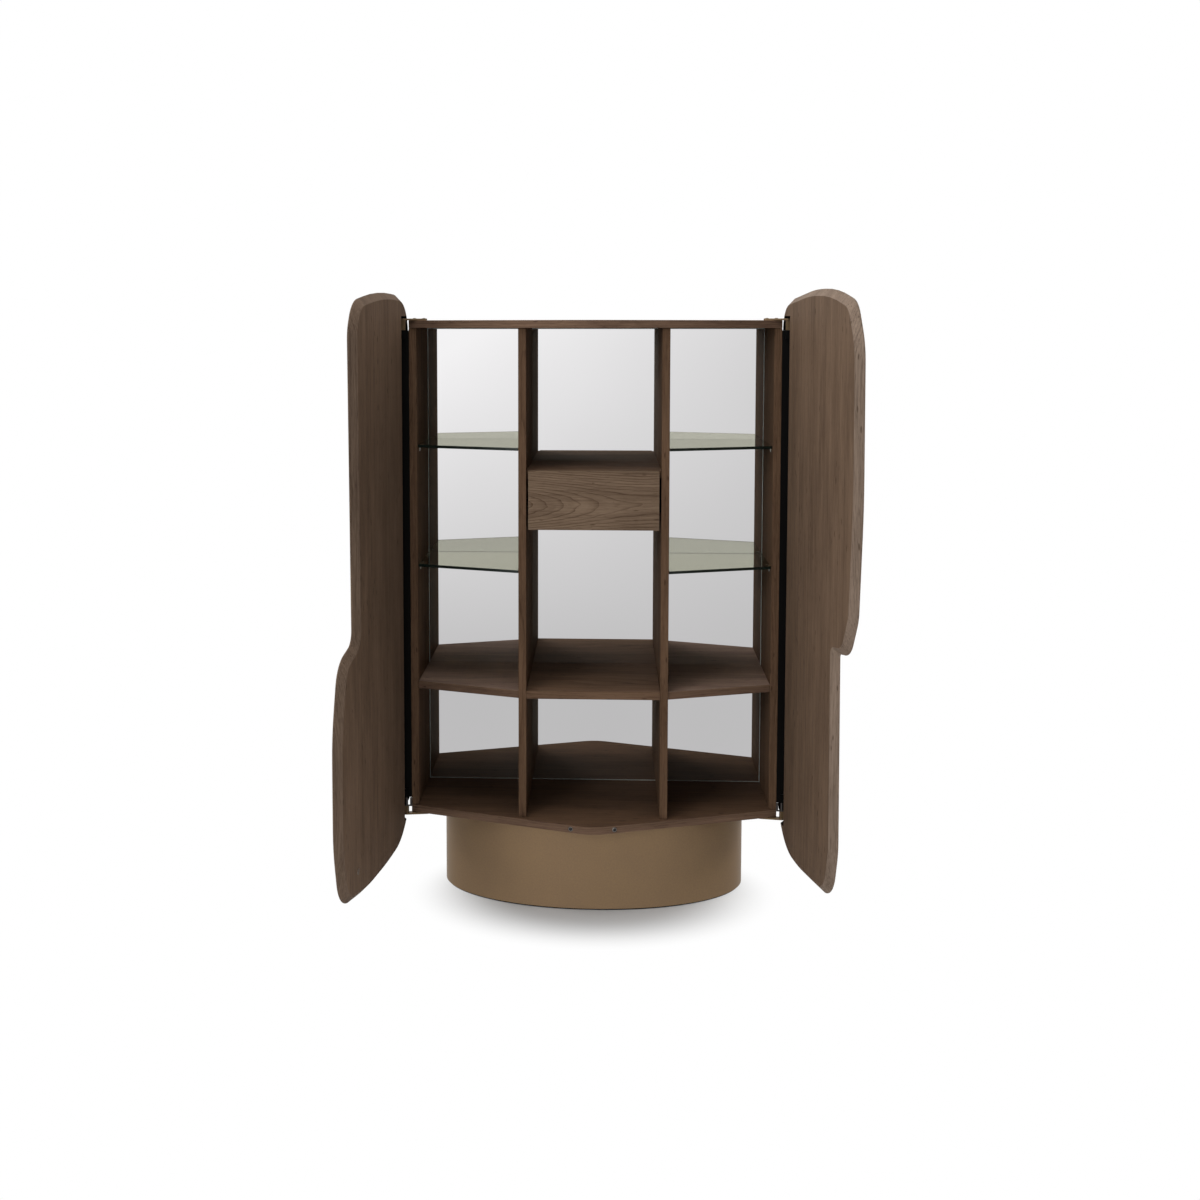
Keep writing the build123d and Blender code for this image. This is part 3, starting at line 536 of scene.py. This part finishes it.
# Glass shelves: the edges have their own dark finish
for side in ("left", "right"):
    for level, top in GLASS_TOPS.items():
        low_x, high_x = -SIDE_INNER + 1, -DIVIDER_OUTER - 1
        plan = [(low_x, v_front(low_x, 20)), (high_x, v_front(high_x, 20)), (high_x, MIRROR_FRONT - 0.5),
                (low_x, MIRROR_FRONT - 0.5)]
        points, faces, slots = prism(plan, top - GLASS_THICK, top)
        slots = [1 if len(set(points[i][2] for i in face)) > 1 else 0 for face in faces]
        piece("glass_shelf_" + level + "_" + side + "_sheet", "carcass", [(points, faces, slots)],
              [float_glass, float_glass_edge], side_place(side), ["glass_shelf_" + level + "_" + side], 0.6, 1)


# Doors
def door_solid(side):
    """The leaf-shaped board, wide bevel inside and small rounding outside."""
    outline = rounded(OUTLINES[side], step=4)
    inner = -PIVOT_INSET
    profile = [(18.7, 0.0), (18.15, 0.12), (17.75, 0.4), (0.35, 17.65), (0.08, 18.0), (0.0, 18.4), (0.0, 19.5)]
    profile += [(2.5 - 2.5 * math.cos(math.radians(a)), 19.5 + 2.5 * math.sin(math.radians(a)))
                for a in (18, 36, 54, 72, 90)]
    points, faces, slots = loft([[(x, y, inner + height) for x, y in inset(outline, distance)]
                                 for distance, height in profile])
    edging = len(outline) * (len(profile) - 1)
    return points, faces, [1] * edging + [0, 0]


def cut(obj, cutters):
    """Cut solids away from a piece, and keep the result as its mesh."""
    for cutter in cutters:
        cutter_mesh = bpy.data.meshes.new("cutter")
        cutter_mesh.from_pydata(cutter[0], [], cutter[1])
        work = bmesh.new()
        work.from_mesh(cutter_mesh)
        bmesh.ops.recalc_face_normals(work, faces=work.faces)
        work.to_mesh(cutter_mesh)
        work.free()
        tool = bpy.data.objects.new("cutter", cutter_mesh)
        scene.collection.objects.link(tool)
        step = obj.modifiers.new("cut", "BOOLEAN")
        step.operation = "DIFFERENCE"
        step.solver = "EXACT"
        step.object = tool
        obj.modifiers.move(len(obj.modifiers) - 1, 0)
        depsgraph = bpy.context.evaluated_depsgraph_get()
        keep = [modifier for modifier in obj.modifiers if modifier.type != "BOOLEAN"]
        for modifier in keep:
            modifier.show_viewport = False
        bpy.context.view_layer.update()
        result = bpy.data.meshes.new_from_object(obj.evaluated_get(depsgraph))
        obj.modifiers.remove(step)
        for modifier in keep:
            modifier.show_viewport = True
        obj.data = result
        bpy.data.objects.remove(tool)


REBATE_FLOOR = -PIVOT_INSET + 13
POCKET_FLOOR = -PIVOT_INSET + 17
CATCH_X, CATCH_Z = -61.4, 11
CATCH_Y = v_front(CATCH_X)
STRIKE_X = (CATCH_X - PIVOT_X) * V_COS - (CATCH_Y - PIVOT_Y) * V_SIN
for side in ("left", "right"):
    place = door_place(side)
    door = piece(side + "_door_leaf", side + "_door", [door_solid(side)],
                 [door_oak[side], lipping_oak[side], black_stain], place, [side + "_door"], smooth=30)
    inner = -PIVOT_INSET - 1
    rebate = [(-13.5, -11.5), (42, -11.5), (42, 1444.5), (-13.5, 1444.5), (-13.5, 1404.3), (-60, 1404.3), (-60, 46),
              (-13.5, 46)]
    cutters = [prism(rebate, inner, REBATE_FLOOR),
               box((-60, -10), (-10.5, 50), (inner, inner + 1.3)),
               box((-60, -10), (1400, 1443.5), (inner, inner + 1.3)),
               box((-14, 14), (-11.5, 42.5), (inner, POCKET_FLOOR)),
               box((-14, 14), (1390.5, 1444.5), (inner, POCKET_FLOOR))]
    if side == "left":
        cutters.append(moved(turned([(8.1, inner), (8.1, 1.5 - PIVOT_INSET)]), at(STRIKE_X, CATCH_Z, 0)))
    cut(door, [moved(cutter, place) for cutter in cutters])
    # The cut faces are those that lie on the cutters' planes
    door_frame = place.inverted()
    for face in door.data.polygons:
        x, y, z = door_frame @ face.center
        facing = door_frame.to_3x3() @ face.normal
        across, along, through = (abs(part) > 0.9 * facing.length for part in facing)
        on_floor = through and min(abs(z - depth) for depth in (REBATE_FLOOR, POCKET_FLOOR, inner + 1.3)) < 0.1
        on_wall = (across or along) and -14.1 < x < 42.1 and -11.6 < y < 1444.6
        if (on_floor or on_wall) and x < 42.1:
            face.material_index = 2

# Drawer front and the board over it
piece("drawer_front_board", "drawer",
      [box((-DRAWER_REACH, DRAWER_REACH), (-100, -80), (DRAWER_TOP - DRAWER_HEIGHT, DRAWER_TOP))], [drawer_oak],
      stands_for=["drawer_front"], rounding=EDGE_ROUND)
piece("drawer_top_board_sheet", "carcass",
      [box((-DIVIDER_INNER, DIVIDER_INNER), (-76, MIRROR_FRONT), (DRAWER_TOP - PANEL, DRAWER_TOP))], [lying_oak],
      stands_for=["drawer_top_board"], rounding=0.5)

# Base drum: an oval wall with a flat back
BASE_HALF_WIDTH = 441
BASE_HALF_DEPTH = 248
BASE_FLAT_BACK = 159


def drum_outline(smaller, count=220):
    """The oval with its flat back and two rounded back corners, smaller all round by a distance."""
    a, b, back = BASE_HALF_WIDTH - smaller, BASE_HALF_DEPTH - smaller, BASE_FLAT_BACK - smaller
    corner = 40 - smaller
    # The corner's arc touches the flat back and the oval: its middle is found by halving
    low, high = 0.0, float(a)
    for _ in range(60):
        middle = (low + high) / 2
        nearest = min(math.hypot(a * math.cos(t) - middle, b * math.sin(t) - (back - corner))
                      for t in [math.pi / 2 * i / 400 for i in range(401)])
        if nearest > corner:
            low = middle
        else:
            high = middle
    centre = (low, back - corner)
    touch = min((math.pi / 2 * i / 4000 for i in range(4001)),
                key=lambda t: math.hypot(a * math.cos(t) - centre[0], b * math.sin(t) - centre[1]))
    from_angle = math.atan2(b * math.sin(touch) - centre[1], a * math.cos(touch) - centre[0])
    oval = [(a * math.cos(t), b * math.sin(t))
            for t in [-math.pi / 2 + (touch + math.pi / 2) * i / (count // 2) for i in range(count // 2 + 1)]]
    arc = [(centre[0] + corner * math.cos(t), centre[1] + corner * math.sin(t))
           for t in [from_angle + (math.pi / 2 - from_angle) * i / 12 for i in range(1, 13)]]
    right = oval + arc
    return right + [(-x, y) for x, y in right[:0:-1]]


def drum_wall():
    """The wall as one closed skin: outside, small bottom rounding, inside."""
    outer = [(1.6, 4.0), (0.8, 4.2), (0.2, 4.8), (0.0, 5.6), (0.0, 60.0), (0.0, 120.0), (0.0, 180.0), (0.0, 234.4),
             (0.4, 235.0), (17.6, 235.0), (18.0, 234.6), (18.0, 4.4), (17.6, 4.0)]
    return loft([[(x, y, height) for x, y in drum_outline(smaller)] for smaller, height in outer], closed=True)


piece("base_drum_wall", "carcass", [drum_wall()], [bronze_lacquer], MODEL, ["base_drum"],
      smooth=35)

# Pivot hardware, drawn about the pivot axis or on the door
ARM_REACH, ARM_RADIUS, ARM_THICK, ARM_TURN = 59, 9, 5, 9
ARM_SCREWS = (0.55 * ARM_REACH, ARM_REACH)
BLOCK_HALF = 6.5
STILE_FACE = REBATE_FLOOR - 3
BUSHES = ((46, 70), (1380.3, 1404.3))
# Turns a part drawn along Z to stand along the door's height
ON_END = Matrix(((1, 0, 0, 0), (0, 0, 1, 0), (0, 1, 0, 0), (0, 0, 0, 1)))


def round_bar(reach, radius, count=14):
    """Plan of a flat bar with round ends, from the middle of one end along X."""
    ends = []
    for middle, first in ((0, math.pi / 2), (reach, -math.pi / 2)):
        for i in range(count + 1):
            angle = first + math.pi * i / count
            ends.append((middle + radius * math.cos(angle), radius * math.sin(angle)))
    return ends


def bored(x, y, z, bore, count=40):
    """A block with a round hole along the Z axis."""
    angles = [2 * math.pi * i / count for i in range(count)]
    angles += [math.atan2(b, a) % (2 * math.pi) for a in x for b in y]
    outer, inner = [], []
    for angle in sorted(angles):
        along, across = math.cos(angle), math.sin(angle)
        reach = 1 / max(along / x[1], along / x[0], across / y[1], across / y[0])
        outer.append((along * reach, across * reach))
        inner.append((along * bore, across * bore))
    return loft([[(a, b, height) for a, b in ring] for ring, height in
                 ((outer, z[0]), (outer, z[1]), (inner, z[1]), (inner, z[0]))], closed=True)


def screw(head, height, socket, shank, length):
    """A screw with a low domed head and a hexagon socket."""
    return turned([(socket, 0.35 * height, 6), (socket, height, 6), (0.72 * head, height), (0.93 * head, 0.8 * height),
                   (head, 0.45 * height), (head, 0), (shank, 0), (shank, 0.5 - length), (0.6 * shank, -length)], 36)


for side in ("left", "right"):
    place = side_place(side)
    pivot = at(PIVOT_X, PIVOT_Y, 0)
    bar = prism(round_bar(ARM_REACH, ARM_RADIUS), 0, ARM_THICK)
    block_plan = ((-BLOCK_HALF, BLOCK_HALF), (-BLOCK_HALF, BLOCK_HALF))
    piece(side + "_upper_pivot_arm", "carcass",
          [moved(bar, at(PIVOT_X, PIVOT_Y, HEIGHT, ARM_TURN)), moved(bored(*block_plan, (1405, HEIGHT), 3.55), pivot)],
          [bronze_steel], place, [side + "_top_arm"], 0.6)
    piece(side + "_lower_pivot_arm", "carcass",
          [moved(bar, at(PIVOT_X, PIVOT_Y, -ARM_THICK, ARM_TURN)), moved(bored(*block_plan, (0, 20), 4.55), pivot)],
          [bronze_steel], place, [side + "_bottom_arm"], 0.6)
    piece(side + "_pivot_pin_pair", "carcass",
          [moved(turned([(4.1, -5.3), (4.5, -4.9), (4.5, 45.4), (4.2, 45.7), (3.5, 45.7), (3.5, 67.5), (3.0, 68)]), pivot),
           moved(turned([(3.0, 1382.3), (3.5, 1382.8), (3.5, 1438), (3.1, 1438.4)]), pivot)],
          [dull_zinc], place, [side + "_pivot_pins"])
    angle_plan = [(-BLOCK_HALF, 20), (16.5, 20), (16.5, 44), (10.5, 44), (10.5, 22), (-BLOCK_HALF, 22)]
    piece(side + "_pivot_angle", "carcass",
          [moved(prism(angle_plan, -6, 4), pivot @ ON_END)], [dull_zinc], place, [side + "_pivot_bracket"], 0.5)
    arm_screws = []
    for reach in ARM_SCREWS:
        for height, turn in ((HEIGHT + ARM_THICK, 0), (-ARM_THICK, 180)):
            seat = at(PIVOT_X, PIVOT_Y, height, ARM_TURN) @ at(reach, 0, 0, turn, "X")
            arm_screws.append(moved(screw(4.5, 1.4, 1.7, 2.5, 16), seat))
    piece(side + "_arm_socket_screws", "carcass", arm_screws, [burnished_steel], place,
          [side + "_arm_screws"])

    # On the door: a steel angle with two bearing blocks, their bushes and five screws
    on_door = door_place(side)
    section = [(-8, STILE_FACE), (-3, STILE_FACE), (-3, -15.2), (0, -15.2), (0, STILE_FACE), (41, STILE_FACE),
               (41, REBATE_FLOOR), (-8, REBATE_FLOOR)]
    plate = [(-8, STILE_FACE), (41, STILE_FACE), (41, REBATE_FLOOR), (-8, REBATE_FLOOR)]
    stile = [prism(section, BUSHES[0][1], BUSHES[1][0])]
    for low, high in BUSHES:
        stile += [prism(plate, low, high), box((-3, 0), (-15.2, -7.05), (low, high)),
                  bored((-7.5, 7.5), (-7.05, STILE_FACE), (low, high), 5.1)]
    piece(side + "_stile_angle", side + "_door", [moved(part, ON_END) for part in stile], [black_steel],
          on_door, [side + "_door_stile"], 0.4)
    piece(side + "_acetal_bushes", side + "_door",
          [moved(turned([(3.6, low), (5.0, low), (5.0, high), (3.6, high)], closed=True), ON_END)
           for low, high in BUSHES], [black_acetal], on_door, [side + "_pivot_bushes"], 0.2)
    heights = [58 + 333.575 * i for i in range(5)]
    piece(side + "_stile_socket_screws", side + "_door",
          [moved(screw(4, 2, 1.5, 2, 9), at(26, height, STILE_FACE, 180, "X")) for height in heights],
          [burnished_steel], on_door, [side + "_stile_screws"])

    # Push catches in the V edge
    out_of_edge = Matrix(((V_COS, 0, -V_SIN), (-V_SIN, 0, -V_COS), (0, 1, 0))).to_4x4()
    catch = side_place(side, CARCASS @ Matrix.Translation((CATCH_X, CATCH_Y, CATCH_Z)) @ out_of_edge)
    piece(side + "_catch_body", "carcass",
          [turned([(4.15, -40), (5.5, -40), (5.5, 0), (6.3, 0), (6.6, 0.3), (6.6, 0.6), (6.2, 1.0), (4.7, 1.0), (4.15, 0.5)],
                  closed=True)], [nickel], catch, [side + "_catch_housing"])
    piece(side + "_catch_pin", side + "_catch_plunger",
          [turned([(4.0, -25), (4.0, 2.6), (3.85, 3.15), (3.4, 3.6), (2.7, 3.85), (1.4, 3.9)])], [black_acetal], catch,
          [side + "_catch_plunger"])

    # Shelf supports: a bent steel tongue with a riveted pin
    supports = []
    back = MIRROR_FRONT - 45
    for wall, facing in ((-SIDE_INNER, 1), (-DIVIDER_OUTER, -1)):
        bend = [(0, -13), (1.5, -13), (1.5, -1.5), (12, -1.5), (12, 0), (0, 0)]
        for depth in (v_front(wall, 20) + 45, back):
            for top in GLASS_TOPS.values():
                seat = Matrix.Translation((wall, depth, top - GLASS_THICK)) @ Matrix.Scale(facing, 4, (1, 0, 0))
                supports.append(moved(prism(bend, -3.5, 3.5), seat @ ON_END))
                pin = turned([(2.5, -8), (2.5, 1.5), (2.3, 2.1), (1.5, 2.4)], 24)
                supports.append(moved(pin, seat @ at(0, 0, -6.5, 90, "Y")))
    piece(side + "_shelf_tongues", "carcass", supports, [bright_steel], place,
          ["shelf_supports_" + side], 0.25)

# The left door's strike: a flat steel disc let into its inner face
strike = turned([(1.4, -4.9, 6), (1.4, -PIVOT_INSET, 6), (7.7, -PIVOT_INSET), (8, 0.3 - PIVOT_INSET),
                 (8, 1.5 - PIVOT_INSET)])
piece("left_strike_disc", "left_door", [moved(strike, at(STRIKE_X, CATCH_Z, 0))], [nickel],
      door_place("left"), ["left_door_strike"])

# CAD nodes that stay, with their finishes
finishes = {
    "drawer_left_side": box_birch, "drawer_right_side": box_birch, "drawer_back": box_birch,
    "drawer_bottom": box_birch, "drawer_back_cover": dark_stain_and_shade_board, "drawer_runners_fixed": black_steel,
    "drawer_runners_moving": black_steel, "drawer_latch_housing": grey_nylon, "drawer_latch_plunger": black_acetal,
    "base_top_board": dark_stain_and_shade_board, "base_bottom_board": dark_stain_and_shade_board, "base_ribs": dark_stain_and_shade_board, "base_bolts": zinc,
}
for node, material in finishes.items():
    cad_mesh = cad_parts[node].data
    cad_mesh.materials.clear()
    cad_mesh.materials.append(material)

# Floor: matt near the cabinet, where it keeps the shadow, and plain white further out. For the camera the floor near
# the cabinet is a darker grey than the pale floor that lights the object: painted shade about the base, on top of its
# real shadow
floor_mesh = bpy.data.meshes.new("floor")
floor_mesh.from_pydata([(-9, -9, 0), (9, -9, 0), (9, 9, 0), (-9, 9, 0)], [], [(0, 1, 2, 3)])
floor = bpy.data.objects.new("floor", floor_mesh)
scene.collection.objects.link(floor)
floor_paint, tree = new_material("pale_floor_with_painted_shade")
place = add(tree, "TexCoord").outputs["Object"]
around = add(tree, "VectorMath", {"operation": "MULTIPLY_ADD"}, {0: place, 1: (2.17, 2.78, 0), 2: (0, 0.28, 0)})
from_base = add(tree, "VectorMath", {"operation": "LENGTH"}, {0: around})
far = add(tree, "MapRange", {"interpolation_type": "SMOOTHSTEP"}, {"Value": from_base.outputs["Value"],
                                                                   "From Min": 0.54, "From Max": 1.18})
path = add(tree, "LightPath")
white = add(tree, "Emission", None, {"Color": (1, 1, 1, 1), "Strength": 1.0})
matt = add(tree, "BsdfDiffuse", None, {"Color": linear("#F4F4F4")})
# Darker grey, seen only by the camera near the base: painted shade
painted_shade_floor = add(tree, "BsdfDiffuse", None, {"Color": linear("#BDBDBD")})
near_or_far = add(tree, "MixShader", None, {0: far, 1: painted_shade_floor, 2: white})
seen = add(tree, "MixShader", None, {0: path.outputs["Is Camera Ray"], 1: matt, 2: near_or_far})
add(tree, "OutputMaterial", None, {"Surface": seen})
floor_mesh.materials.append(floor_paint)
# Mirrors and metal see the studio instead of the floor, so that its light has no seam in them
floor.visible_glossy = False

# World: plain soft light. Seen directly or through glass it is white; in a mirror it falls off to the right and down
world = bpy.data.worlds.new("studio")
scene.world = world
world.use_nodes = True
tree = world.node_tree
tree.nodes.clear()
direction = add(tree, "TexCoord").outputs["Generated"]
parts = add(tree, "SeparateXYZ", None, {0: direction})
leftward = add(tree, "Math", {"operation": "MULTIPLY_ADD"}, {0: parts.outputs[0], 1: -1.3, 2: 0.32})
leftward = add(tree, "Math", {"operation": "MAXIMUM"}, {0: leftward, 1: 0.0})
upward = add(tree, "Math", {"operation": "MULTIPLY_ADD", "use_clamp": True}, {0: parts.outputs[2], 1: 4.2, 2: 1.0})
both = add(tree, "Math", {"operation": "MULTIPLY_ADD", "use_clamp": True}, {0: leftward, 1: upward, 2: 0.57})
# Beyond what the flat mirror shows, the studio's sides are dark: curved metal gets its dark flanks from them
aside = add(tree, "Math", {"operation": "ABSOLUTE"}, {0: parts.outputs[0]})
flank = add(tree, "MapRange", None, {"Value": aside, "From Min": 0.45, "From Max": 0.95, "To Min": 1.0, "To Max": 0.55})
both = add(tree, "Math", {"operation": "MULTIPLY"}, {0: both, 1: flank})
path = add(tree, "LightPath")
seen_white = add(tree, "Math", {"operation": "MAXIMUM"}, {0: path.outputs["Is Camera Ray"],
                                                          1: path.outputs["Is Transmission Ray"]})
plain = add(tree, "Background", None, {"Color": (1, 1, 1, 1), "Strength": 0.32})
glossy = add(tree, "Background", None, {"Color": (1, 1, 1, 1), "Strength": both})
# A glass shelf that lies before the mirror gives back a duller, greener studio
twice = add(tree, "Math", {"operation": "GREATER_THAN"}, {0: path.outputs["Glossy Depth"], 1: 1.5})
dull = add(tree, "Background", None, {"Color": linear("#BABAAD"), "Strength": 1.0})
glossy = add(tree, "MixShader", None, {0: twice, 1: glossy, 2: dull})
bright = add(tree, "Background", None, {"Color": (1, 1, 1, 1), "Strength": 1.0})
# Only a mirror that is looked at shows the falling-off studio: light that has already met wood stays plain
unspread = add(tree, "Math", {"operation": "LESS_THAN"}, {0: path.outputs["Diffuse Depth"], 1: 0.5})
in_mirror = add(tree, "Math", {"operation": "MULTIPLY"}, {0: path.outputs["Is Glossy Ray"], 1: unspread})
first = add(tree, "MixShader", None, {0: in_mirror, 1: plain, 2: glossy})
shown = add(tree, "MixShader", None, {0: seen_white, 1: first, 2: bright})
add(tree, "OutputWorld", None, {"Surface": shown})


# Soft boxes
def soft_box(name, spot, target, size, power):
    """A large square lamp that faces a point."""
    lamp = bpy.data.lights.new(name, "AREA")
    lamp.shape = "SQUARE"
    lamp.size = size
    lamp.energy = power
    holder = bpy.data.objects.new(name, lamp)
    holder.location = spot
    holder.rotation_euler = (Vector(target) - Vector(spot)).to_track_quat("-Z", "Y").to_euler()
    scene.collection.objects.link(holder)


soft_box("overhead_box", (-0.4, -0.6, 4.2), (0, 0, 0.8), 2.6, 98)
soft_box("left_front_box", (-2.6, -3.8, 2.6), (0, 0, 0.8), 2.0, 73)
soft_box("left_side_box", (-3.6, -0.8, 1.8), (0, 0, 0.8), 2.0, 70)
soft_box("right_side_box", (3.6, -0.8, 1.8), (0, 0, 0.8), 2.0, 90)

# Camera at the photo's angle. Its pitch carries part of the framing, so that the shift stays small.
camera_data = bpy.data.cameras.new("camera")
camera = bpy.data.objects.new("camera", camera_data)
scene.collection.objects.link(camera)
scene.camera = camera
camera_data.sensor_width = 36
camera_data.lens = 43.92
camera_data.shift_x = 0.0493
camera_data.shift_y = -0.13
camera.location = (0.0373, -4.2851, 1.6429)
YAW = math.radians(-2.604)
PITCH = math.radians(4.486)
look = Vector((math.sin(YAW) * math.cos(PITCH), math.cos(YAW) * math.cos(PITCH), -math.sin(PITCH)))
camera.rotation_euler = look.to_track_quat("-Z", "Y").to_euler()

scene.view_settings.view_transform = "Standard"
